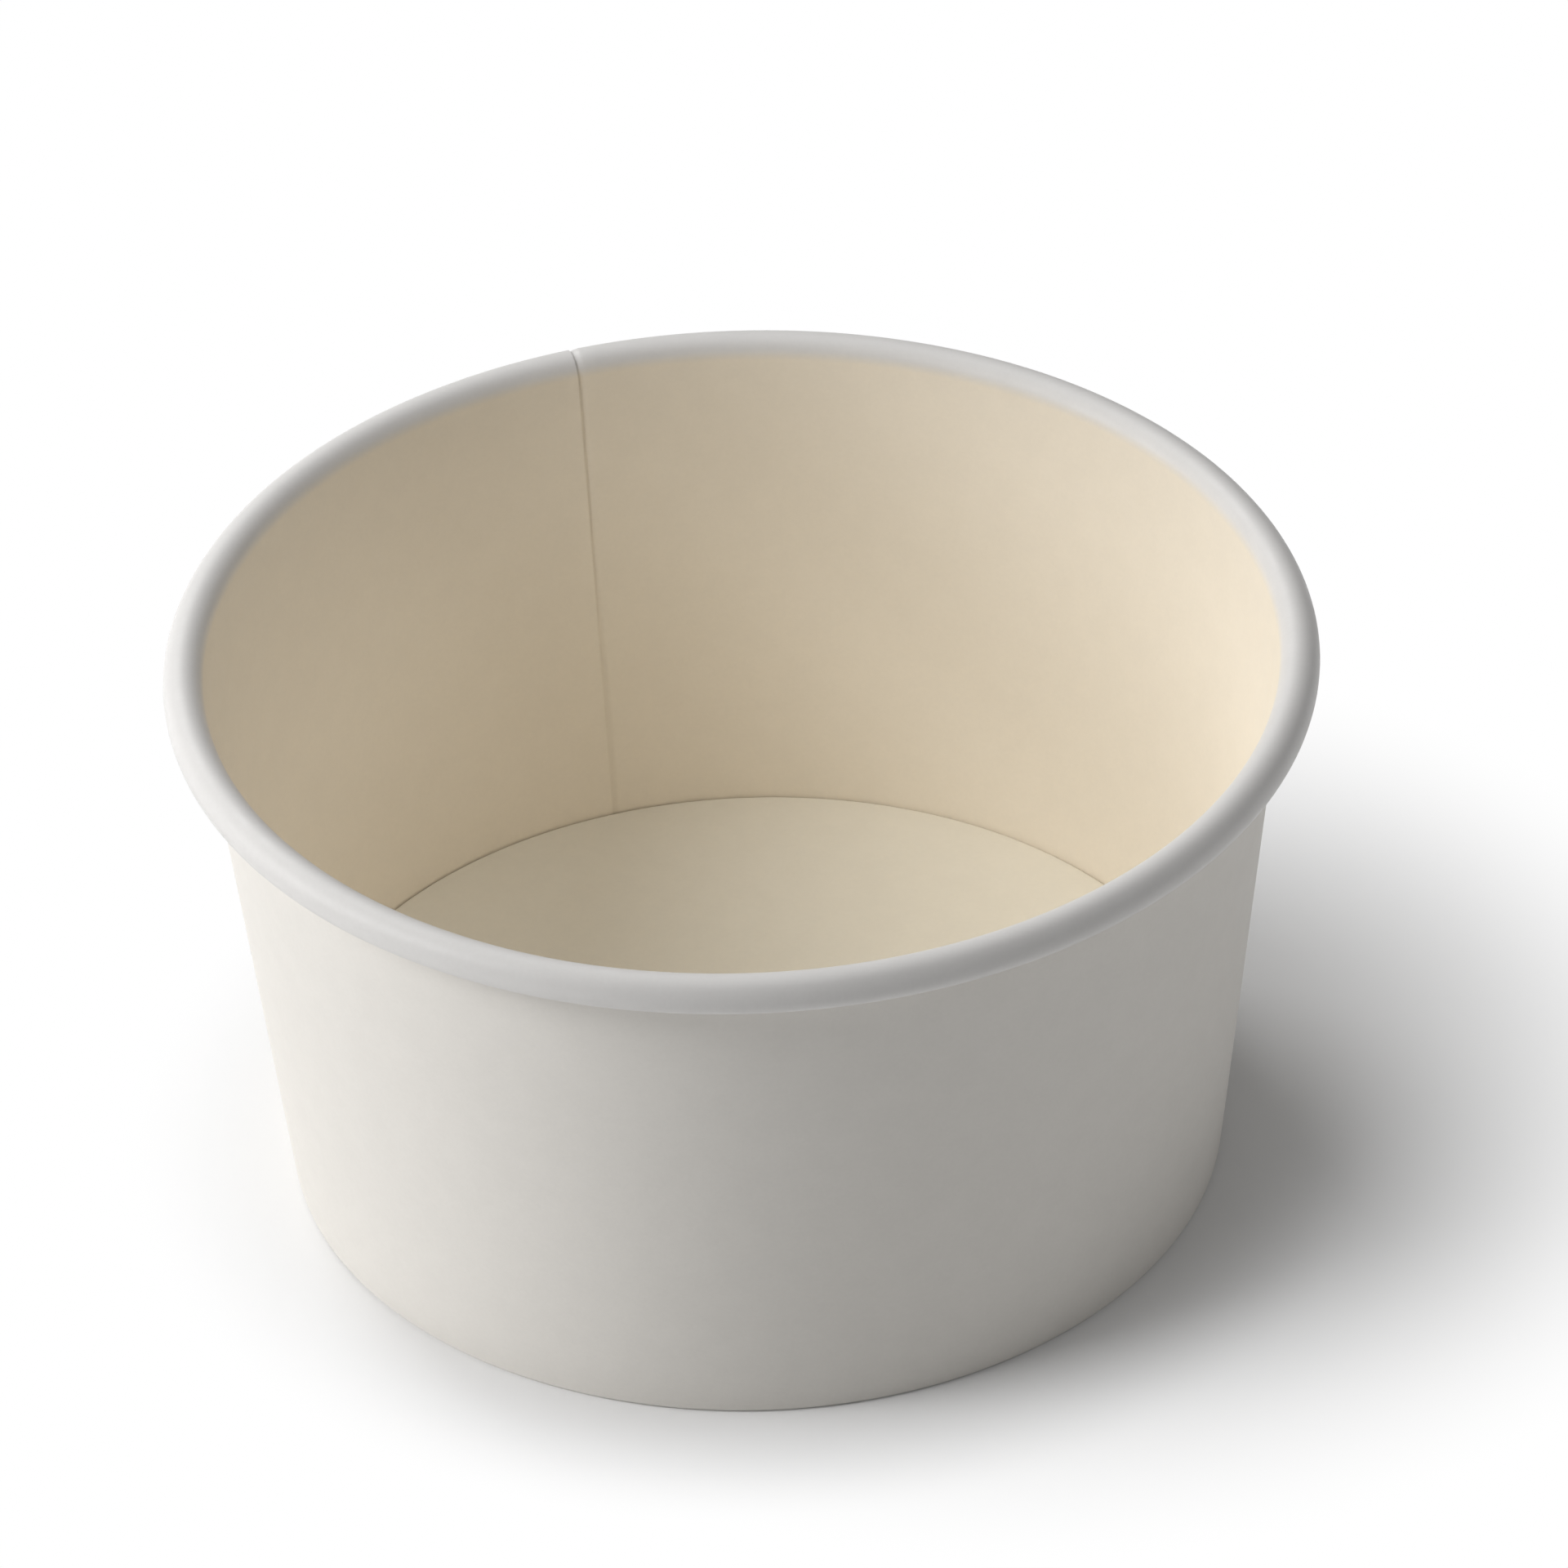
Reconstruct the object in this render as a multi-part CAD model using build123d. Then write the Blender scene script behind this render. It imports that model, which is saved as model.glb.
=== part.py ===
"""Paper sundae cup: a low, wide tub for ice cream, made of coated paperboard.

The cup is made of two blanks. The sidewall is one sheet, wrapped into a cone and glued where its
ends lap. Its top edge is rolled outward into a round rim, and its bottom edge is turned in and up
as a hem. The base is a round disc with a turned-down skirt, held between the sidewall and the hem.

The frame is in millimetres. +Z points up, z = 0 is the plane that the foot stands on, and the
cup's axis is the Z axis. Every section is drawn in the XZ plane, with X as the radius.
"""
import os
from math import asin, atan2, cos, degrees, hypot, sin, tan

from build123d import *
from build123d.topology import SkipClean

# Driving dimensions of the cup
rim_diameter = 92.0  # over the rolled rim
height = 47.8  # from the table to the top of the rim
foot_diameter = 76.0  # over the sidewall at the table
floor_height = 5.2  # from the table to the upper side of the floor

# Boards
wall_board = 0.4  # thickness of the sidewall's paperboard
base_board = 0.35  # thickness of the base's paperboard
seal_gap = 0.05  # room between two boards that are pressed together

# Rolled rim
curl_diameter = 3.2  # outside of the roll

# Foot
skirt_clearance = 0.3  # between the skirt's lower edge and the hem's fold
hem_clearance = 0.9  # between the hem's upper edge and the floor above it

# Side seam
seam_angle = 107.2  # where the inner end of the sheet shows inside the cup
lap_width = 7.0  # how far the sheet's ends lap
lap_step_share = 0.62  # height of the seam's step in board thicknesses, once the lap is pressed
jog_width = 0.7  # length of the ramp that takes the outer end over the inner end

# Round stretches are drawn as short flats, each of which turns by about this many degrees
roll_flat_turn = 25
fold_flat_turn = 45

# Values that follow from the driving dimensions
rim_radius = rim_diameter / 2
foot_radius = foot_diameter / 2
curl_radius = curl_diameter / 2
roll_pitch = wall_board + seal_gap  # what the roll tightens by in one turn
slot_width = base_board + 2 * seal_gap  # between the sidewall and its hem
underside_height = floor_height - base_board
hem_height = underside_height - hem_clearance
lap_step = wall_board * lap_step_share

# The roll's first centre, and the sidewall's lean that brings the sheet tangent to the roll
roll_radius = rim_radius - curl_radius
roll_height = height - curl_radius
roll_tight_radius = curl_radius - roll_pitch / 2
roll_reach = hypot(roll_radius - foot_radius, roll_height)
lean = atan2(roll_radius - foot_radius, roll_height) - asin((curl_radius - wall_board) / roll_reach)

lap_angle = degrees(lap_width / foot_radius)
jog_angle = degrees(jog_width / foot_radius)


def wall_radius(level, depth):
    """Radius, at a height, of the layer that lies a depth inside the sidewall's outer face."""
    return foot_radius + level * tan(lean) - depth / cos(lean)


def wall_point(level, depth):
    return (wall_radius(level, depth), level)


def crease(points, radius):
    """A folded line. The inside of a fold is creased sharp, and its outside is round."""
    if radius == 0:
        return Polyline(*points)
    return flatten(FilletPolyline(*points, radius=radius), fold_flat_turn)


def flatten(line, flat_turn):
    """The line with each round stretch drawn as short flats of about the same turn."""
    points = [line @ 0]
    for edge in line.edges():
        turn = degrees(edge.length / edge.radius) if edge.geom_type == GeomType.CIRCLE else flat_turn
        flats = max(round(turn / flat_turn), 1)
        points += [edge @ (flat / flats) for flat in range(1, flats + 1)]
    return Polyline(*points)


def sheet_line(sink, fold_radius):
    """The sidewall's sheet in section, at a depth below its food side.

    It runs from the hem's upper edge, round the fold, up the wall and round the roll.
    """
    wall_depth = wall_board - sink
    hem_depth = wall_board + slot_width + sink
    # The press leaves the foot flat where the second layer would stand below it
    fold_level = max(wall_board - sink, 0)
    tangent_level = roll_height + (curl_radius - sink) * sin(lean)
    wall = crease([
        wall_point(hem_height, hem_depth),
        wall_point(fold_level, hem_depth),
        wall_point(fold_level, wall_depth),
        wall_point(tangent_level, wall_depth),
    ], fold_radius)
    return Wire(wall.edges() + roll(sink).edges())


def roll(sink):
    """Two turns that meet at the widest place. The second is tighter, and ends tucked in at the wall."""
    start = 180 - degrees(lean)
    centre = Vector(roll_radius, roll_height)
    tight_centre = Vector(rim_radius - roll_tight_radius, roll_height)
    wide = curl_radius - sink
    tight = roll_tight_radius - sink
    arcs = [
        CenterArc(centre, wide, start, 90 - start),
        CenterArc(centre, wide, 90, -90),
        CenterArc(tight_centre, tight, 0, start - 360),
    ]
    return flatten(Wire(arcs), roll_flat_turn)


def sheet_outline(sink):
    """The edges round the sheet's thickness in section, with its food side at a depth."""
    return outline(sheet_line(sink, 0), sheet_line(sink + wall_board, wall_board))


def outline(first, second):
    """The edges round the strip between two lines that run side by side."""
    caps = [Line(first @ 0, second @ 0), Line(first @ 1, second @ 1)]
    return [(Plane.XZ * edge).edge() for edge in first.edges() + second.edges() + caps]


def ramp(start, end):
    """The solid that runs straight from one outline to another, edge by edge."""
    sides = [Face.make_surface_from_curves(*pair) for pair in zip(start, end)]
    return Solid(Shell([make_face(start).face(), *sides, make_face(end).face()]))


def sidewall():
    """The wrapped sheet. Its inner end starts at angle 0, and its outer end laps over that."""
    sheet = sheet_outline(0)
    second = sheet_outline(lap_step)
    lap = revolve(make_face(sheet) + make_face(second), Axis.Z, lap_angle)
    wrapped = revolve(make_face(sheet), Axis.Z, 360 - lap_angle - jog_angle)
    jog = ramp([Rot(Z=-jog_angle) * edge for edge in sheet], second)
    # The faces on the two sides of the lap keep the edge between them
    with SkipClean():
        wall = lap + Rot(Z=lap_angle) * wrapped + jog
    return Rot(Z=seam_angle) * wall


def base_line(sink, bend_radius):
    """The base's sheet in section, at a depth below its food side, from the axis to the skirt's edge."""
    level = floor_height - sink
    depth = wall_board + seal_gap + sink
    skirt_level = wall_board + skirt_clearance
    return Wire(crease([
        (0, level),
        wall_point(level, depth),
        wall_point(skirt_level, depth),
    ], bend_radius).edges())


def base_disc():
    section = outline(base_line(0, base_board), base_line(base_board, 0))
    return revolve(make_face(section), Axis.Z)


parts = {"sidewall": sidewall(), "base_disc": base_disc()}
os.makedirs("parts", exist_ok=True)
for name, part in parts.items():
    part.label = name
    export_step(part, f"parts/{name}.step")
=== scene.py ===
"""Paper sundae cup: its two boards at full finish, on a pale table lit mostly from the left.

The cup is a sidewall and a base disc. Each board's two sides are drawn as lines in section, joined,
and turned about the cup's axis. Lengths are in metres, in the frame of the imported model.
"""
import math

import bmesh
import bpy
from mathutils import Matrix, Vector, noise


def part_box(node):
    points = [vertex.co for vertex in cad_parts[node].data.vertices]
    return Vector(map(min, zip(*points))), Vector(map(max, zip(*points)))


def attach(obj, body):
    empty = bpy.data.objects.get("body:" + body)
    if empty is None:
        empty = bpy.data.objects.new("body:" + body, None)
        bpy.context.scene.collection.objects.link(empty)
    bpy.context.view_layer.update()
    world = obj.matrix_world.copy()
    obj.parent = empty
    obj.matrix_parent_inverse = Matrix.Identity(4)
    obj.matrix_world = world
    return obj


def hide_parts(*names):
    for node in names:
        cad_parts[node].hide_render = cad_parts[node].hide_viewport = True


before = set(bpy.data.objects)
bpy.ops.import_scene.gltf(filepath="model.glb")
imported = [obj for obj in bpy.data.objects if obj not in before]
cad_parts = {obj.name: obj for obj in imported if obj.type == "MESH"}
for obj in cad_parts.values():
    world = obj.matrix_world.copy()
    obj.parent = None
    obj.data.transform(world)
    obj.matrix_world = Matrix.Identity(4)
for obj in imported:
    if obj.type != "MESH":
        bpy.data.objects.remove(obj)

bl_info = {
    "name": "Paper Sundae Cup",
    "version": (1, 0, 0),
    "blender": (4, 5, 0),
    "location": "View3D > Sidebar > Paper Cup",
    "description": "Models a paper cup with a rolled rim from its two boards",
    "category": "Add Mesh",
}

MM = 0.001
FULL_TURN = math.tau
HALF_TURN = math.pi
QUARTER_TURN = math.pi / 2
ORIGIN = (0, 0, 0)
CUP_AXIS = (0, 0, 1)
ACROSS_SECTION = (0, 1, 0)
DOWN = Vector((0, 0, -1))
WHITE = (1, 1, 1)

SIDEWALL = "sidewall"
BASE_DISC = "base_disc"
BODY = "root"
SHEET_MAP = "sheet"

# Noise in the paper, by the noise texture's own inputs. The scale counts cells to a metre.
CLOUDS = {"Scale": 350, "Detail": 4, "Roughness": 0.6}
FIBRES = {"Scale": 2600, "Detail": 3, "Roughness": 0.7}
SHEEN = {"Scale": 500, "Detail": 3, "Roughness": 0.6}
TOOTH = {"Scale": 3200, "Detail": 5, "Roughness": 0.65}
STRETCH_MARKS = {"Scale": 1800, "Detail": 2, "Roughness": 0.5}
PLIES = {"Scale": 6000, "Detail": 2, "Roughness": 0.5}
CUT_FIBRES = {"Scale": 5000, "Detail": 4, "Roughness": 0.7}

# Sums of clouds and fibres, from the darkest paper to the plain colour
MOTTLE_RANGE = (0.6, 1.4)

# Values of the sheen's noise, from the smoothest paper to the roughest
SHEEN_RANGE = (0.3, 0.7)

# Factors on the sheet's map that draw a noise out along the section, or round the cup
DRAWN_ALONG = (1, 0.12, 1)
DRAWN_ROUND = (0.1, 1, 1)

# Each light's name, azimuth from the cup's right towards its back, and elevation, in degrees
LIGHTS = (
    ("window", 200, 40),
    ("low", 180, 20),
    ("back", 120, 40),
    ("fill", 0, 30),
    ("top", 0, 90),
)

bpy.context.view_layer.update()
_, wall_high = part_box(SIDEWALL)
base_low, base_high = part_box(BASE_DISC)


def length(name, about, default):
    return bpy.props.FloatProperty(
        name=name, description=about, default=default, unit="LENGTH", precision=5)


def angle(name, about, degrees):
    return bpy.props.FloatProperty(
        name=name, description=about, default=math.radians(degrees), subtype="ANGLE")


def share(name, about, default):
    return bpy.props.FloatProperty(
        name=name, description=about, default=default, min=0, max=1, subtype="FACTOR")


def strength(name, about, default):
    return bpy.props.FloatProperty(name=name, description=about, default=default, min=0)


def power(name, about, default):
    return bpy.props.FloatProperty(name=name, description=about, default=default, min=0, unit="POWER")


def colour(name, about, default):
    return bpy.props.FloatVectorProperty(
        name=name, description=about, default=default, size=3, min=0, max=1, subtype="COLOR")


def count(name, about, default):
    return bpy.props.IntProperty(name=name, description=about, default=default, min=1)


class CupSizes(bpy.types.PropertyGroup):
    """Sizes of the cup's two boards."""
    rim_radius: length("Rim radius", "Over the rolled rim", wall_high.x)
    height: length("Height", "From the table to the top of the rim", wall_high.z)
    foot_radius: length("Foot radius", "Over the sidewall at the table", 38 * MM)
    floor_height: length("Floor height", "From the table to the upper side of the floor", base_high.z)
    wall_board: length("Wall board", "Thickness of the sidewall's paperboard", 0.4 * MM)
    base_board: length("Base board", "Thickness of the base's paperboard", 0.35 * MM)
    seal_gap: length("Seal gap", "Room between two boards that are pressed together", 0.05 * MM)
    curl_radius: length("Curl radius", "Outside of the rolled rim", 1.6 * MM)
    skirt_level: length("Skirt level", "Lower edge of the base's skirt", base_low.z)
    hem_clearance: length("Hem clearance", "Between the hem's upper edge and the floor", 0.9 * MM)
    crease_radius: length("Crease radius", "Inside of a folded edge", 0.06 * MM)
    seam_angle: angle("Seam angle", "Where the inner end of the sheet shows inside the cup", 107.2)
    lap_width: length("Lap width", "How far the sheet's ends lap", 7 * MM)
    lap_step: length("Lap step", "Height of the seam's step once the lap is pressed", 0.15 * MM)
    jog_width: length("Jog width", "Length of the ramp that takes the outer end over the lap", 0.7 * MM)
    glue_line: length("Glue line", "Room between the two layers of the lap", 0.008 * MM)
    merge_distance: length("Merge distance", "Points that are nearer than this become one", 0.008 * MM)
    wave_height: length("Wave height", "Unevenness of the formed sidewall", 0.04 * MM)
    wave_length: length("Wave length", "Distance over which the unevenness changes", 14 * MM)
    turn_steps: count("Turn steps", "Faces round the cup", 240)
    jog_steps: count("Jog steps", "Faces along the ramp at the seam", 5)
    wall_steps: count("Wall steps", "Faces up the sidewall", 14)
    roll_steps: count("Roll steps", "Faces round each half of the rolled rim", 18)
    fold_steps: count("Fold steps", "Faces round each fold", 5)
    skirt_steps: count("Skirt steps", "Faces up the hem, and down the base's skirt", 2)
    floor_steps: count("Floor steps", "Faces from the middle of the floor to its edge", 8)
    sharp_angle: angle("Sharp angle", "Least angle between two faces that looks sharp", 35)


class CupFinish(bpy.types.PropertyGroup):
    """Colours and surface of the paper."""
    # Inside: the coat's own warm colour, made brighter as painted light for the light that passes through
    # the wall and bounces inside the cup
    inside: colour("Inside", "Coated side inside the cup", (0.94, 0.865, 0.74))
    # Rim: the same coat, with a darker colour that paints the shade on the roll's outer face
    rim: colour("Rim", "Coated side where it shows on the rolled rim", (0.785, 0.77, 0.752))
    # Outside: a near-white board; part of its warm tint is painted light, for the warm bounce on the cup's
    # shaded side
    outside: colour("Outside", "Printed side of the sidewall", (0.86, 0.83, 0.78))
    # Floor: the coat's own colour, made brighter as painted light for the light that passes through the
    # wall and bounces inside the cup
    floor: colour("Floor", "Coated side of the base disc", (0.97, 0.92, 0.80))
    fibre: colour("Fibre", "Cut edge of the board", (0.85, 0.80, 0.72))
    # Over this span the coat goes from the inside's painted-light colour to the rim's painted-shade colour
    rim_start: length("Rim start", "From the roll's start to where the coat starts to whiten", -0.3 * MM)
    rim_full: length("Rim full", "From the roll's start to where the coat has the rim's colour", 0.9 * MM)
    coat_roughness: share("Coat roughness", "Roughness of the coated side", 0.5)
    board_roughness: share("Board roughness", "Roughness of the printed side", 0.65)
    edge_roughness: share("Edge roughness", "Roughness of a cut edge", 0.9)
    roughness_spread: share("Roughness spread", "How far a side's roughness wanders up or down", 0.06)
    coat_specular: share("Coat specular", "Specular level of the sidewall's coated side", 0.4)
    board_specular: share("Board specular", "Specular level of the sidewall's printed side", 0.25)
    disc_specular: share("Disc specular", "Specular level of the base disc's two sides", 0.35)
    edge_specular: share("Edge specular", "Specular level of a cut edge", 0.2)
    mottle: share("Mottle", "How far the paper's clouds darken it", 0.03)
    edge_mottle: share("Edge mottle", "How far the clouds darken a cut edge", 0.06)
    tooth_height: length("Tooth height", "Depth of the paper's surface texture", 0.01 * MM)
    coat_tooth: share("Coat tooth", "How much of that texture the sidewall's coat shows", 0.4)
    disc_tooth: share("Disc tooth", "How much of that texture the base disc's coat shows", 0.5)
    edge_tooth: strength("Edge tooth", "How many times that depth a cut edge's texture has", 2)
    knurl_pitch: length("Knurl pitch", "Between the marks of the sealing wheel in the hem", 1.3 * MM)
    knurl_height: length("Knurl height", "Depth of the sealing wheel's marks", 0.05 * MM)
    knurl_fade: length("Knurl fade", "Distance over which the marks start", 0.2 * MM)


class CupStage(bpy.types.PropertyGroup):
    """Camera, lights and table."""
    camera_distance: length("Camera distance", "From the cup's axis, over the table", 715.61 * MM)
    camera_height: length("Camera height", "Above the table", 550.39 * MM)
    camera_pan: angle("Camera pan", "To the right of the cup's axis", 0.24637)
    camera_tilt: angle("Camera tilt", "Below the horizon", 35.8259)
    camera_roll: angle("Camera roll", "About the line of sight", -1.90451)
    camera_lens: strength("Camera lens", "Focal length in millimetres", 252.81)
    sensor_width: strength("Sensor width", "In millimetres", 36)
    nearest_seen: length("Nearest seen", "From the camera to the nearest thing that it shows", 10 * MM)
    farthest_seen: length("Farthest seen", "From the camera to the farthest thing that it shows", 20)
    window_power: power("Window", "Power of the main light, on the left", 1.88)
    low_power: power("Low light", "Power of the low light on the left", 1.38)
    back_power: power("Back light", "Power of the light behind the cup, on its left", 1.62)
    fill_power: power("Fill", "Power of the light on the right", 0.5)
    top_power: power("Top light", "Power of the light above the cup", 0.45)
    light_aim: length("Light aim", "From the table up to the point that the lights look at", 20 * MM)
    light_distance: length("Light distance", "From that point to each light", 0.7)
    light_width: length("Light width", "Across each light", 0.3)
    room_light: strength("Room light", "Strength of the light from all sides", 0.1)
    table: colour("Table", "Colour of the table", (0.88, 0.88, 0.88))
    table_roughness: share("Table roughness", "Roughness of the table", 0.9)
    table_radius: length("Table radius", "From the cup's axis to the table's edge", 3)
    table_steps: count("Table steps", "Edges round the table", 96)
    # The table's painted glow: the share of it that lights the cup, and where it fades out around the
    # shadow and the foot
    table_bounce: share("Table bounce", "How much of the table's white falls on the cup", 0.12)
    shadow_offset: length("Shadow offset", "From the cup's axis to the middle of its shadow", 23 * MM)
    shadow_azimuth: angle("Shadow azimuth", "From the cup's right towards its back", 9)
    shadow_clear: length(
        "Shadow clear", "From the shadow's middle to where the table starts to whiten", 20 * MM)
    shadow_end: length(
        "Shadow end", "From the shadow's middle to where the table is white", 62 * MM)
    foot_clear: length(
        "Foot clear", "From the cup's axis to where the table starts to whiten", 35 * MM)
    foot_end: length(
        "Foot end", "From the cup's axis to where the table is white, its shadow apart", 52 * MM)


class Sheet:
    """Where the two boards run in section, worked out from the sizes."""

    def __init__(self, sizes):
        self.sizes = sizes
        roll_radius = sizes.rim_radius - sizes.curl_radius
        roll_height = sizes.height - sizes.curl_radius
        reach = math.hypot(roll_radius - sizes.foot_radius, roll_height)
        outer_curl = sizes.curl_radius - sizes.wall_board
        self.lean = math.atan2(roll_radius - sizes.foot_radius, roll_height) - math.asin(outer_curl / reach)
        self.outward = Vector((math.cos(self.lean), 0, -math.sin(self.lean)))
        self.roll_centre = Vector((roll_radius, 0, roll_height))
        self.roll_start = self.roll_centre - self.outward * sizes.curl_radius
        roll_pitch = sizes.wall_board + sizes.seal_gap
        tight_radius = sizes.curl_radius - roll_pitch / 2
        self.tight_centre = Vector((sizes.rim_radius - tight_radius, 0, roll_height))
        self.slot_width = sizes.base_board + 2 * sizes.seal_gap
        self.hem_height = sizes.floor_height - sizes.base_board - sizes.hem_clearance
        self.lap = sizes.lap_width / sizes.foot_radius
        self.jog = sizes.jog_width / sizes.foot_radius

    def wall_point(self, level, depth):
        """The point at a height of the layer that lies a depth inside the sidewall's outer face."""
        radius = self.sizes.foot_radius + level * math.tan(self.lean) - depth / math.cos(self.lean)
        return Vector((radius, 0, level))


def on(bm, vert, point, steps=1):
    """Runs the line straight on from its last vertex, and returns the new last one."""
    start = vert.co.copy()
    for step in range(1, steps + 1):
        vert = bmesh.ops.extrude_vert_indiv(bm, verts=[vert])["verts"][0]
        vert.co = start.lerp(point, step / steps)
    return vert


def bend(bm, vert, centre, turn, steps):
    """Turns the line on round a centre, and returns the new last vertex."""
    made = bmesh.ops.spin(
        bm, geom=[vert], cent=centre, axis=ACROSS_SECTION, dvec=ORIGIN, angle=turn, steps=steps)
    return [item for item in made["geom_last"] if isinstance(item, bmesh.types.BMVert)][0]


def sheet_line(bm, sheet, sink):
    """Draws the sidewall's sheet in section, at a depth below its food side, from the hem to the roll."""
    sizes = sheet.sizes
    fold = sizes.crease_radius + sink
    fold_level = sizes.wall_board + sizes.crease_radius
    hem_bend = sheet.wall_point(fold_level, sizes.wall_board + sheet.slot_width - sizes.crease_radius)
    wall_bend = sheet.wall_point(fold_level, sizes.wall_board + sizes.crease_radius)
    hem_depth = sizes.wall_board + sheet.slot_width + sink
    vert = bm.verts.new(sheet.wall_point(sheet.hem_height, hem_depth))
    vert = on(bm, vert, hem_bend - sheet.outward * fold, sizes.skirt_steps)
    vert = bend(bm, vert, hem_bend, -QUARTER_TURN - sheet.lean, sizes.fold_steps)
    vert = on(bm, vert, wall_bend + DOWN * fold)
    vert = bend(bm, vert, wall_bend, sheet.lean - QUARTER_TURN, sizes.fold_steps)
    vert = on(bm, vert, sheet.roll_start + sheet.outward * sink, sizes.wall_steps)
    vert = bend(bm, vert, sheet.roll_centre, HALF_TURN - sheet.lean, sizes.roll_steps)
    bend(bm, vert, sheet.tight_centre, HALF_TURN + sheet.lean, sizes.roll_steps)


def base_line(bm, sheet, sink):
    """Draws the base disc in section, at a depth below its food side, from the axis to its skirt."""
    sizes = sheet.sizes
    bend_radius = sizes.base_board + sizes.crease_radius
    skirt_depth = sizes.wall_board + sizes.seal_gap
    centre = sheet.wall_point(sizes.floor_height - bend_radius, skirt_depth + bend_radius)
    vert = bm.verts.new((0, 0, sizes.floor_height - sink))
    vert = on(bm, vert, centre - DOWN * (bend_radius - sink), sizes.floor_steps)
    vert = bend(bm, vert, centre, QUARTER_TURN + sheet.lean, sizes.fold_steps)
    on(bm, vert, sheet.wall_point(sizes.skirt_level, skirt_depth + sink), sizes.skirt_steps)


def section(bm, sheet, draw_line, board, zero):
    """Draws a board's two sides in section, and notes on each vertex where it lies on the board.

    The run along the board is counted from the vertex nearest to a given point.
    """
    inward = bm.verts.layers.float_vector.new("inward")
    depth, along, _ = [bm.verts.layers.float.new(name) for name in ("depth", "along", "turn")]
    draw_line(bm, sheet, 0)
    food_side = bm.verts[:]
    draw_line(bm, sheet, board)
    back_side = bm.verts[len(food_side):]
    run = 0
    for index, (food, back) in enumerate(zip(food_side, back_side)):
        if index:
            run += (food.co - food_side[index - 1].co).length
        back[depth] = board
        food[inward] = back[inward] = (back.co - food.co) / board
        food[along] = back[along] = run
    start = min(food_side, key=lambda vert: (vert.co - zero).length)[along]
    for vert in bm.verts:
        vert[along] -= start
    return food_side, back_side


def turn_section(bm, geometry, start, turn, steps):
    """Turns the last section on about the cup's axis, and notes at which angle each new vertex lies."""
    at = bm.verts.layers.float["turn"]
    before = len(bm.verts)
    made = bmesh.ops.spin(
        bm, geom=geometry, cent=ORIGIN, axis=CUP_AXIS, dvec=ORIGIN, angle=turn, steps=steps,
        use_merge=turn == FULL_TURN)
    bm.verts.ensure_lookup_table()
    for vert in bm.verts[before:]:
        vert[at] = nearest_turn(math.atan2(vert.co.y, vert.co.x), start + turn / 2)
    return made["geom_last"]


def nearest_turn(turn, reference):
    """The same direction, counted in the turn that comes nearest to a reference."""
    return turn + FULL_TURN * round((reference - turn) / FULL_TURN)


def smooth(value):
    """Goes gently from 0 to 1 as the value does."""
    value = min(max(value, 0), 1)
    return value * value * (3 - 2 * value)


def wrap_sheet(bm, sheet):
    """Wraps the sheet's section once round the cup and on over its own start."""
    sizes = sheet.sizes
    geometry = bm.verts[:] + bm.edges[:] + bm.faces[:]
    start = 0
    for turn in (sheet.lap, sheet.jog, FULL_TURN - sheet.lap - 2 * sheet.jog, sheet.jog, sheet.lap):
        steps = sizes.jog_steps if turn == sheet.jog else math.ceil(turn / FULL_TURN * sizes.turn_steps)
        geometry = turn_section(bm, geometry, start, turn, steps)
        start += turn


def lay_lap(bm, sheet):
    """Lays the sheet's outer end behind its inner end, which is pressed as thin as the seam's step.

    The foot stays flat where the outer end would stand below it.
    """
    sizes = sheet.sizes
    layers = bm.verts.layers
    inward, depth, at = layers.float_vector["inward"], layers.float["depth"], layers.float["turn"]
    for vert in bm.verts:
        over_start = smooth((vert[at] - FULL_TURN + sheet.jog) / sheet.jog)
        past_start = smooth((vert[at] - sheet.lap) / sheet.jog)
        sink = sizes.lap_step * over_start
        if vert[depth] > 0:
            sink += (sizes.lap_step - vert[depth]) * (1 - past_start)
        else:
            sink += sizes.glue_line * over_start
        vert.co += Matrix.Rotation(vert[at], 3, "Z") @ (vert[inward] * sink)
        vert.co.z = max(vert.co.z, 0)


def warp(bm, sizes):
    """Gives the sidewall the slight unevenness of formed paper, from the floor up.

    The waves go inward only, so the cup gets no wider. Halfway up they have their full height.
    """
    rise_height = (sizes.height - sizes.floor_height) / 2
    for vert in bm.verts:
        outward = Vector((vert.co.x, vert.co.y, 0)).normalized()
        rise = smooth((vert.co.z - sizes.floor_height) / rise_height)
        wave = (noise.noise(vert.co / sizes.wave_length) - 1) / 2
        vert.co += outward * sizes.wave_height * rise * wave


def finish_mesh(bm, name, materials, sizes):
    """Makes the piece's object. Its materials are for the food side, the back and the cut edges."""
    layers = bm.verts.layers
    depth, along, at = layers.float["depth"], layers.float["along"], layers.float["turn"]
    sheet_map = bm.loops.layers.uv.new(SHEET_MAP)
    food_material, back_material, edge_material = range(len(materials))
    for face in bm.faces:
        on_back = [vert[depth] > 0 for vert in face.verts]
        face.smooth = True
        if all(on_back):
            face.material_index = back_material
        elif any(on_back):
            face.material_index = edge_material
        else:
            face.material_index = food_material
        for loop in face.loops:
            turn = nearest_turn(loop.vert[at], face.verts[0][at])
            loop[sheet_map].uv = (turn * sizes.foot_radius, loop.vert[along])
    bmesh.ops.recalc_face_normals(bm, faces=bm.faces[:])
    mesh = bpy.data.meshes.new(name)
    bm.to_mesh(mesh)
    bm.free()
    for material in materials:
        mesh.materials.append(material)
    mesh.set_sharp_from_angle(angle=sizes.sharp_angle)
    piece = bpy.data.objects.new(name, mesh)
    bpy.context.scene.collection.objects.link(piece)
    return piece


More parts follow.
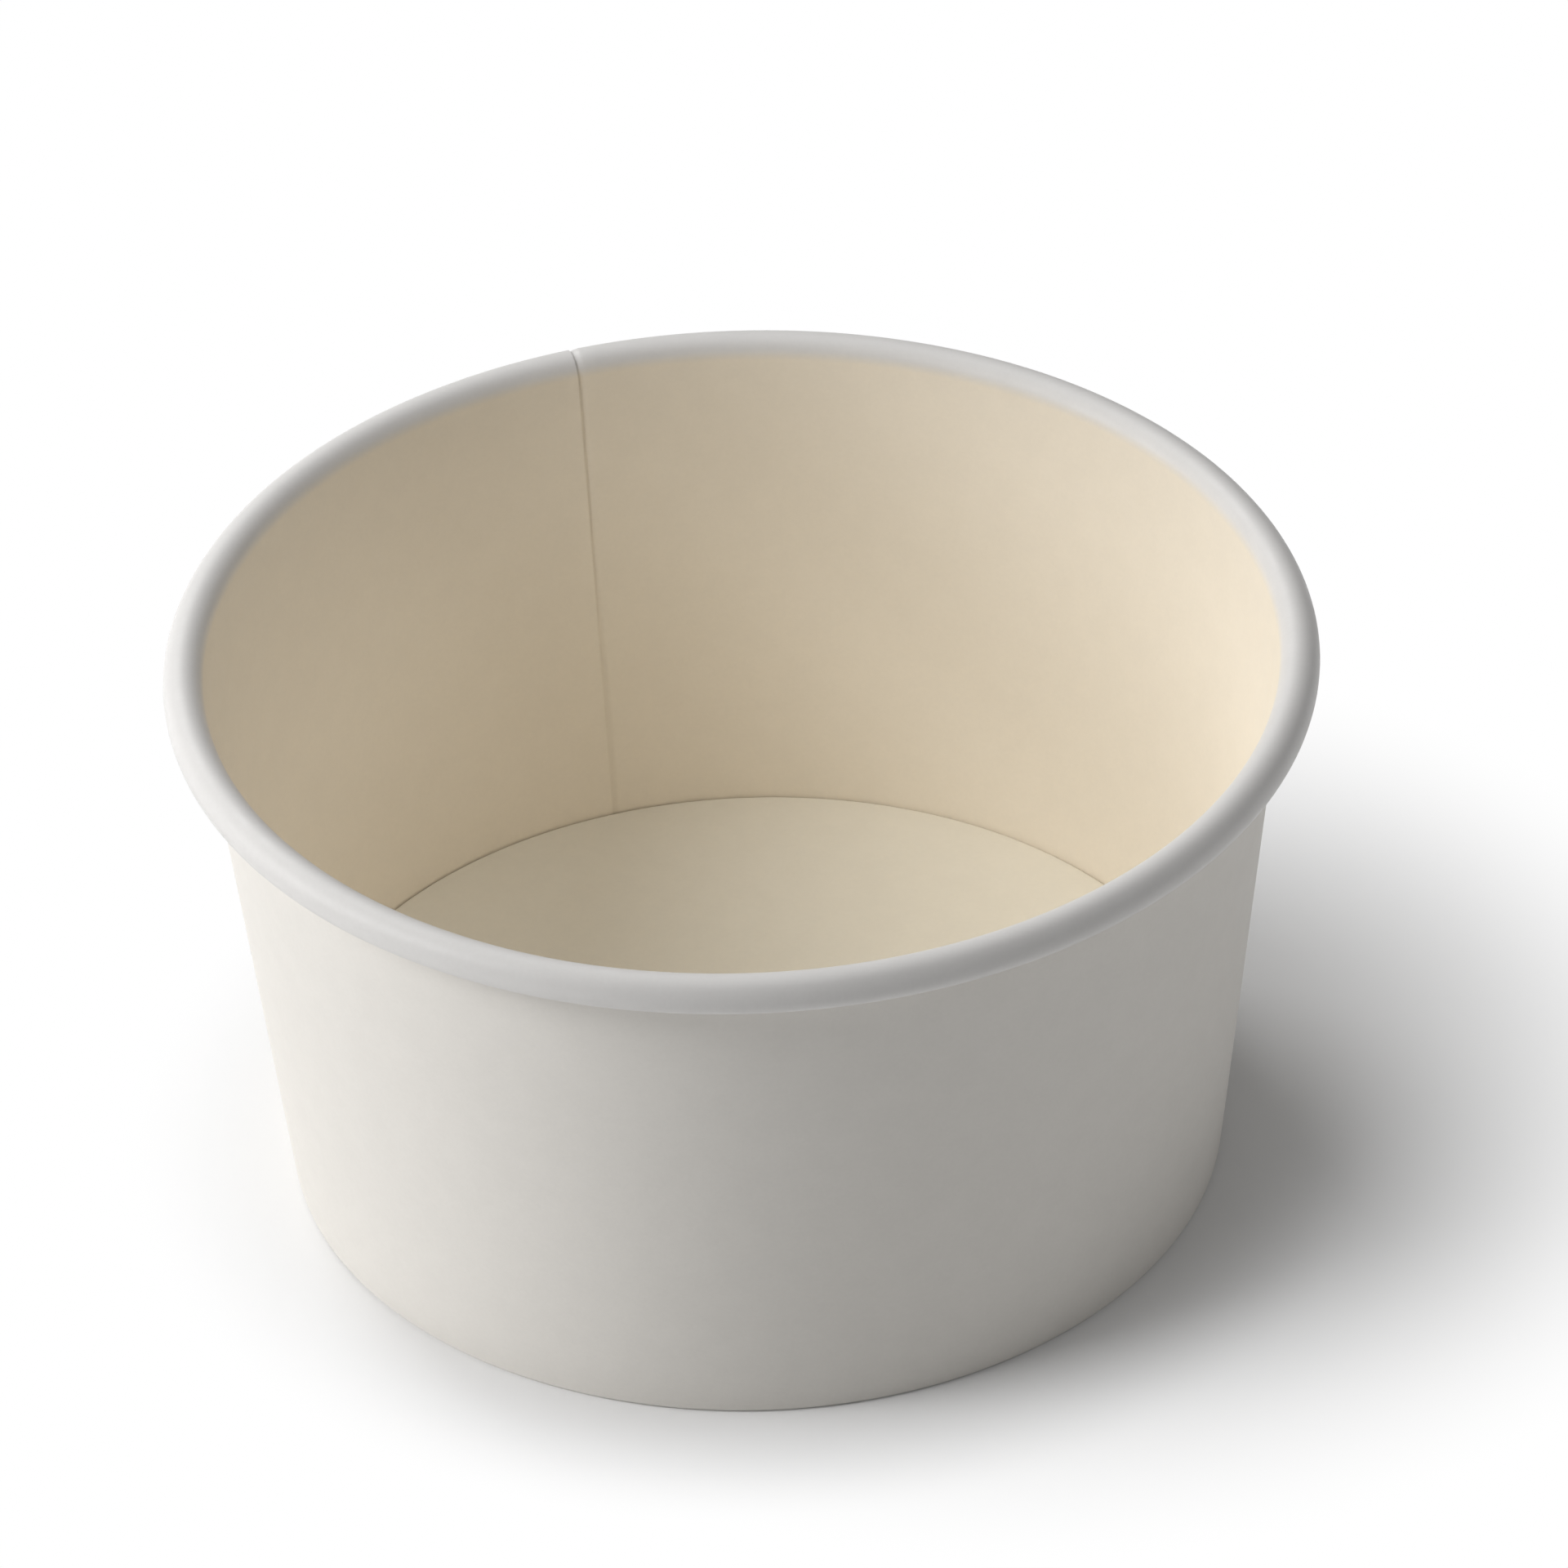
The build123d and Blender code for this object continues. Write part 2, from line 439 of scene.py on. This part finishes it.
class Nodes:
    """Adds and links the nodes of a material or of the world."""

    def __init__(self, owner):
        self.owner = owner
        owner.use_nodes = True
        self.tree = owner.node_tree

    def add(self, kind, inputs=None, **settings):
        node = self.tree.nodes.new(kind)
        for key, value in settings.items():
            setattr(node, key, value)
        for key, value in (inputs or {}).items():
            self.put(node.inputs[key], value)
        return node

    def put(self, socket, value):
        """Links a socket to another, or sets its value."""
        if isinstance(value, bpy.types.NodeSocket):
            self.tree.links.new(value, socket)
        else:
            socket.default_value = value

    def maths(self, operation, *values):
        return self.add("ShaderNodeMath", dict(enumerate(values)), operation=operation).outputs["Value"]

    def place(self):
        """Where a point lies in the model."""
        return self.add("ShaderNodeTexCoord").outputs["Object"]

    def flat(self):
        """Where a point lies on the board, X round the cup and Y along the section."""
        return self.add("ShaderNodeUVMap", uv_map=SHEET_MAP).outputs["UV"]

    def noise(self, place, grain):
        return self.add("ShaderNodeTexNoise", {"Vector": place, **grain}).outputs["Fac"]

    def drawn_out(self, place, factors):
        """Coordinates in which a noise is longer one way than the other."""
        scaled = self.add("ShaderNodeVectorMath", {0: place, 1: factors}, operation="MULTIPLY")
        return scaled.outputs["Vector"]

    def ramp(self, value, low, high, to_low=0, to_high=1):
        return self.add("ShaderNodeMapRange", {
            "Value": value, "From Min": low, "From Max": high, "To Min": to_low, "To Max": to_high,
        }, interpolation_type="SMOOTHSTEP").outputs["Result"]

    def bump(self, height, distance, normal=None):
        inputs = {"Height": height, "Distance": distance}
        if normal:
            inputs["Normal"] = normal
        return self.add("ShaderNodeBump", inputs).outputs["Normal"]

    def finish(self, base, roughness, specular, normal=None):
        """Sets the shader that a material ends in, and returns the material."""
        shader = self.tree.nodes["Principled BSDF"]
        self.put(shader.inputs["Base Color"], base)
        self.put(shader.inputs["Roughness"], roughness)
        self.put(shader.inputs["Specular IOR Level"], specular)
        if normal:
            self.put(shader.inputs["Normal"], normal)
        return self.owner


def material_nodes(name):
    return Nodes(bpy.data.materials.new(name))


def rgba(value):
    return (*value, 1)


def mottled(nodes, base, place, amount):
    """A paper colour with the faint clouds that fibres make as they settle."""
    grain = nodes.maths("ADD", nodes.noise(place, CLOUDS), nodes.noise(place, FIBRES))
    level = nodes.ramp(grain, *MOTTLE_RANGE, 1 - amount, 1)
    return nodes.add("ShaderNodeVectorMath", {0: base, "Scale": level}, operation="SCALE").outputs["Vector"]


def uneven(nodes, place, roughness, spread):
    """A roughness that wanders a little, as a thin coat or a calendered face has it."""
    return nodes.ramp(nodes.noise(place, SHEEN), *SHEEN_RANGE, roughness - spread, roughness + spread)


def coated_side(finish):
    """Sidewall's food side: warm, with painted light inside the cup; whiter, with painted shade and fine
    stretch marks on the rim.
    """
    nodes = material_nodes("Coated side")
    place, flat = nodes.place(), nodes.flat()
    run = nodes.add("ShaderNodeSeparateXYZ", {"Vector": flat}).outputs["Y"]
    on_rim = nodes.ramp(run, finish.rim_start, finish.rim_full)
    # The colour goes from the inside's, brightened as painted light, to the rim's, darkened as painted
    # shade
    lit_and_shaded_coat = {"Factor": on_rim, "A": rgba(finish.inside), "B": rgba(finish.rim)}
    base = nodes.add("ShaderNodeMix", lit_and_shaded_coat, data_type="RGBA").outputs["Result"]
    marks = nodes.noise(nodes.drawn_out(flat, DRAWN_ALONG), STRETCH_MARKS)
    tooth = nodes.bump(nodes.noise(place, TOOTH), finish.tooth_height * finish.coat_tooth)
    normal = nodes.bump(nodes.maths("MULTIPLY", marks, on_rim), finish.tooth_height, tooth)
    tint = mottled(nodes, base, place, finish.mottle)
    roughness = uneven(nodes, place, finish.coat_roughness, finish.roughness_spread)
    return nodes.finish(tint, roughness, finish.coat_specular, normal)


def printed_side(finish, sheet):
    """The sidewall's outer side, with the sealing wheel's marks where it is turned up inside the foot."""
    nodes = material_nodes("Printed side")
    place, flat = nodes.place(), nodes.flat()
    parts = nodes.add("ShaderNodeSeparateXYZ", {"Vector": flat}).outputs
    # The run is 0 at the roll's start, and falls down the wall, across the foot and up the hem
    hem_run = -sheet.roll_start.z / math.cos(sheet.lean) - sheet.slot_width
    on_hem = nodes.ramp(parts["Y"], hem_run, hem_run - finish.knurl_fade)
    pace = FULL_TURN / finish.knurl_pitch
    rising = nodes.maths("MULTIPLY", nodes.maths("ADD", parts["X"], parts["Y"]), pace)
    falling = nodes.maths("MULTIPLY", nodes.maths("SUBTRACT", parts["X"], parts["Y"]), pace)
    diamonds = nodes.maths("MULTIPLY", nodes.maths("SINE", rising), nodes.maths("SINE", falling))
    tooth = nodes.bump(nodes.noise(place, TOOTH), finish.tooth_height)
    normal = nodes.bump(nodes.maths("MULTIPLY", diamonds, on_hem), finish.knurl_height, tooth)
    # Part of the outside colour's warm tint is painted light, for the warm bounce on the shaded side
    tint = mottled(nodes, tuple(finish.outside), place, finish.mottle)
    roughness = uneven(nodes, place, finish.board_roughness, finish.roughness_spread)
    return nodes.finish(tint, roughness, finish.board_specular, normal)


def disc_side(finish, name, base, roughness, tooth):
    """The base disc's floor or its underside."""
    nodes = material_nodes(name)
    place = nodes.place()
    normal = nodes.bump(nodes.noise(place, TOOTH), finish.tooth_height * tooth)
    tint = mottled(nodes, tuple(base), place, finish.mottle)
    wandering = uneven(nodes, place, roughness, finish.roughness_spread)
    return nodes.finish(tint, wandering, finish.disc_specular, normal)


def cut_edge(finish, name):
    """The board's cut edge, where its plies show as fine lines."""
    nodes = material_nodes(name)
    place = nodes.place()
    plies = nodes.noise(nodes.drawn_out(nodes.flat(), DRAWN_ROUND), PLIES)
    cut = nodes.maths("ADD", plies, nodes.noise(place, CUT_FIBRES))
    normal = nodes.bump(cut, finish.tooth_height * finish.edge_tooth)
    tint = mottled(nodes, tuple(finish.fibre), place, finish.edge_mottle)
    return nodes.finish(tint, finish.edge_roughness, finish.edge_specular, normal)


class CUP_OT_sidewall(bpy.types.Operator):
    """Model the sidewall: one sheet, wrapped and lapped, with a rolled rim and a hem"""
    bl_idname = "paper_cup.sidewall"
    bl_label = "Sidewall"

    def execute(self, context):
        sizes, finish = context.scene.cup_sizes, context.scene.cup_finish
        sheet = Sheet(sizes)
        bm = bmesh.new()
        section(bm, sheet, sheet_line, sizes.wall_board, sheet.roll_start)
        bmesh.ops.bridge_loops(bm, edges=bm.edges[:])
        wrap_sheet(bm, sheet)
        lay_lap(bm, sheet)
        warp(bm, sizes)
        to_seam = Matrix.Rotation(sizes.seam_angle, 3, "Z")
        bmesh.ops.rotate(bm, verts=bm.verts[:], cent=ORIGIN, matrix=to_seam)
        materials = [
            coated_side(finish),
            printed_side(finish, sheet),
            cut_edge(finish, "Sidewall cut edge"),
        ]
        piece = finish_mesh(bm, "paper_sidewall", materials, sizes)
        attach(piece, BODY)
        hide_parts(SIDEWALL)
        return {"FINISHED"}


class CUP_OT_base_disc(bpy.types.Operator):
    """Model the base: a disc with a skirt turned down all round"""
    bl_idname = "paper_cup.base_disc"
    bl_label = "Base disc"

    def execute(self, context):
        sizes, finish = context.scene.cup_sizes, context.scene.cup_finish
        sheet = Sheet(sizes)
        bm = bmesh.new()
        sides = section(bm, sheet, base_line, sizes.base_board, Vector())
        bmesh.ops.contextual_create(bm, geom=[side[-1] for side in sides])
        turn_section(bm, bm.verts[:] + bm.edges[:], 0, FULL_TURN, sizes.turn_steps)
        bmesh.ops.remove_doubles(bm, verts=bm.verts[:], dist=sizes.merge_distance)
        materials = [
            # The floor's colour is brightened as painted light
            disc_side(finish, "Floor", finish.floor, finish.coat_roughness, tooth=finish.disc_tooth),
            # The underside takes the outside colour, with its warm tint that is partly painted light
            disc_side(finish, "Underside", finish.outside, finish.board_roughness, tooth=1),
            cut_edge(finish, "Base cut edge"),
        ]
        piece = finish_mesh(bm, "paper_base_disc", materials, sizes)
        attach(piece, BODY)
        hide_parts(BASE_DISC)
        return {"FINISHED"}


def studio_light(scene, stage, name, azimuth, elevation):
    """A soft round light that looks at the cup. Its power is the stage's, by the light's name."""
    lamp = bpy.data.lights.new(name, "AREA")
    lamp.shape = "DISK"
    lamp.size = stage.light_width
    lamp.energy = getattr(stage, name + "_power")
    light = bpy.data.objects.new(name, lamp)
    aside = Matrix.Rotation(math.radians(azimuth), 4, "Z")
    raised = Matrix.Rotation(math.radians(-elevation), 4, "Y")
    away = aside @ raised @ Vector((stage.light_distance, 0, 0))
    light.location = away + Vector((0, 0, stage.light_aim))
    light.rotation_euler = away.to_track_quat("Z", "Y").to_euler()
    scene.collection.objects.link(light)


def fade(nodes, middle, clear, end):
    """Goes from 0 to 1 between two distances from a point."""
    away = nodes.add("ShaderNodeVectorMath", {0: nodes.place(), 1: middle}, operation="DISTANCE")
    return nodes.ramp(away.outputs["Value"], clear, end)


def table_material(stage):
    """A pale table with painted light: an emission turns it white around the cup and its shadow.

    The camera and reflections see that white in full, and only a share of it lights the cup.
    """
    nodes = material_nodes("Table")
    shadow = Matrix.Rotation(stage.shadow_azimuth, 3, "Z") @ Vector((stage.shadow_offset, 0, 0))
    past_foot = fade(nodes, ORIGIN, stage.foot_clear, stage.foot_end)
    past_shadow = fade(nodes, tuple(shadow), stage.shadow_clear, stage.shadow_end)
    path = nodes.add("ShaderNodeLightPath").outputs
    seen = stage.table_bounce
    for ray in ("Is Camera Ray", "Is Glossy Ray", "Is Transmission Ray"):
        seen = nodes.maths("MAXIMUM", seen, path[ray])
    # Painted light: the glow whitens the table away from the foot and the shadow, and so paints the
    # shadow's outer fade
    painted_glow = nodes.maths("MULTIPLY", nodes.maths("MULTIPLY", past_foot, past_shadow), seen)
    table = nodes.finish(rgba(stage.table), stage.table_roughness, 0)
    shader = nodes.tree.nodes["Principled BSDF"].outputs["BSDF"]
    glow = nodes.add("ShaderNodeEmission").outputs["Emission"]
    blend = nodes.add("ShaderNodeMixShader", {0: painted_glow, 1: shader, 2: glow}).outputs["Shader"]
    nodes.put(nodes.tree.nodes["Material Output"].inputs["Surface"], blend)
    return table


def lay_table(scene, stage):
    """The round table that the cup stands on."""
    bm = bmesh.new()
    bmesh.ops.create_circle(bm, cap_ends=True, segments=stage.table_steps, radius=stage.table_radius)
    mesh = bpy.data.meshes.new("table")
    bm.to_mesh(mesh)
    bm.free()
    mesh.materials.append(table_material(stage))
    table = bpy.data.objects.new("table", mesh)
    scene.collection.objects.link(table)


def room(scene, room_light):
    """Soft light from all sides, with a white background where the camera looks past the table."""
    scene.world = bpy.data.worlds.new("Room")
    nodes = Nodes(scene.world)
    path = nodes.add("ShaderNodeLightPath").outputs
    seen = nodes.maths("MAXIMUM", path["Is Camera Ray"], path["Is Transmission Ray"])
    level = nodes.add("ShaderNodeMapRange", {"Value": seen, "To Min": room_light, "To Max": 1})
    background = nodes.tree.nodes["Background"]
    nodes.put(background.inputs["Color"], rgba(WHITE))
    nodes.put(background.inputs["Strength"], level.outputs["Result"])


def add_camera(scene, stage):
    """The camera stands in front of the cup and looks down on it."""
    data = bpy.data.cameras.new("camera")
    data.sensor_width = stage.sensor_width
    data.lens = stage.camera_lens
    data.clip_start = stage.nearest_seen
    data.clip_end = stage.farthest_seen
    camera = bpy.data.objects.new("camera", data)
    turn = Matrix.Rotation(-stage.camera_pan, 4, "Z")
    turn @= Matrix.Rotation(QUARTER_TURN - stage.camera_tilt, 4, "X")
    turn @= Matrix.Rotation(stage.camera_roll, 4, "Z")
    camera.matrix_world = Matrix.Translation((0, -stage.camera_distance, stage.camera_height)) @ turn
    scene.collection.objects.link(camera)
    scene.camera = camera


class CUP_OT_stage(bpy.types.Operator):
    """Set the table, the lights and the camera"""
    bl_idname = "paper_cup.stage"
    bl_label = "Table, lights and camera"

    def execute(self, context):
        scene, stage = context.scene, context.scene.cup_stage
        lay_table(scene, stage)
        for name, azimuth, elevation in LIGHTS:
            studio_light(scene, stage, name, azimuth, elevation)
        room(scene, stage.room_light)
        add_camera(scene, stage)
        scene.view_settings.view_transform = "Standard"
        return {"FINISHED"}


class CUP_PT_panel(bpy.types.Panel):
    """Sizes, finish and stage of the cup, with a button for each piece"""
    bl_label = "Paper Sundae Cup"
    bl_idname = "CUP_PT_panel"
    bl_space_type = "VIEW_3D"
    bl_region_type = "UI"
    bl_category = "Paper Cup"

    def draw(self, context):
        for group in (context.scene.cup_sizes, context.scene.cup_finish, context.scene.cup_stage):
            box = self.layout.box()
            for name in group.__annotations__:
                box.prop(group, name)
        for operator in OPERATORS:
            self.layout.operator(operator.bl_idname)


OPERATORS = (CUP_OT_sidewall, CUP_OT_base_disc, CUP_OT_stage)
GROUPS = {"cup_sizes": CupSizes, "cup_finish": CupFinish, "cup_stage": CupStage}


def register():
    for name, group in GROUPS.items():
        bpy.utils.register_class(group)
        setattr(bpy.types.Scene, name, bpy.props.PointerProperty(type=group))
    for cls in (*OPERATORS, CUP_PT_panel):
        bpy.utils.register_class(cls)


def unregister():
    for cls in (CUP_PT_panel, *reversed(OPERATORS)):
        bpy.utils.unregister_class(cls)
    for name, group in GROUPS.items():
        delattr(bpy.types.Scene, name)
        bpy.utils.unregister_class(group)


def main():
    register()
    bpy.ops.paper_cup.sidewall()
    bpy.ops.paper_cup.base_disc()
    bpy.ops.paper_cup.stage()


if __name__ == "__main__":
    main()
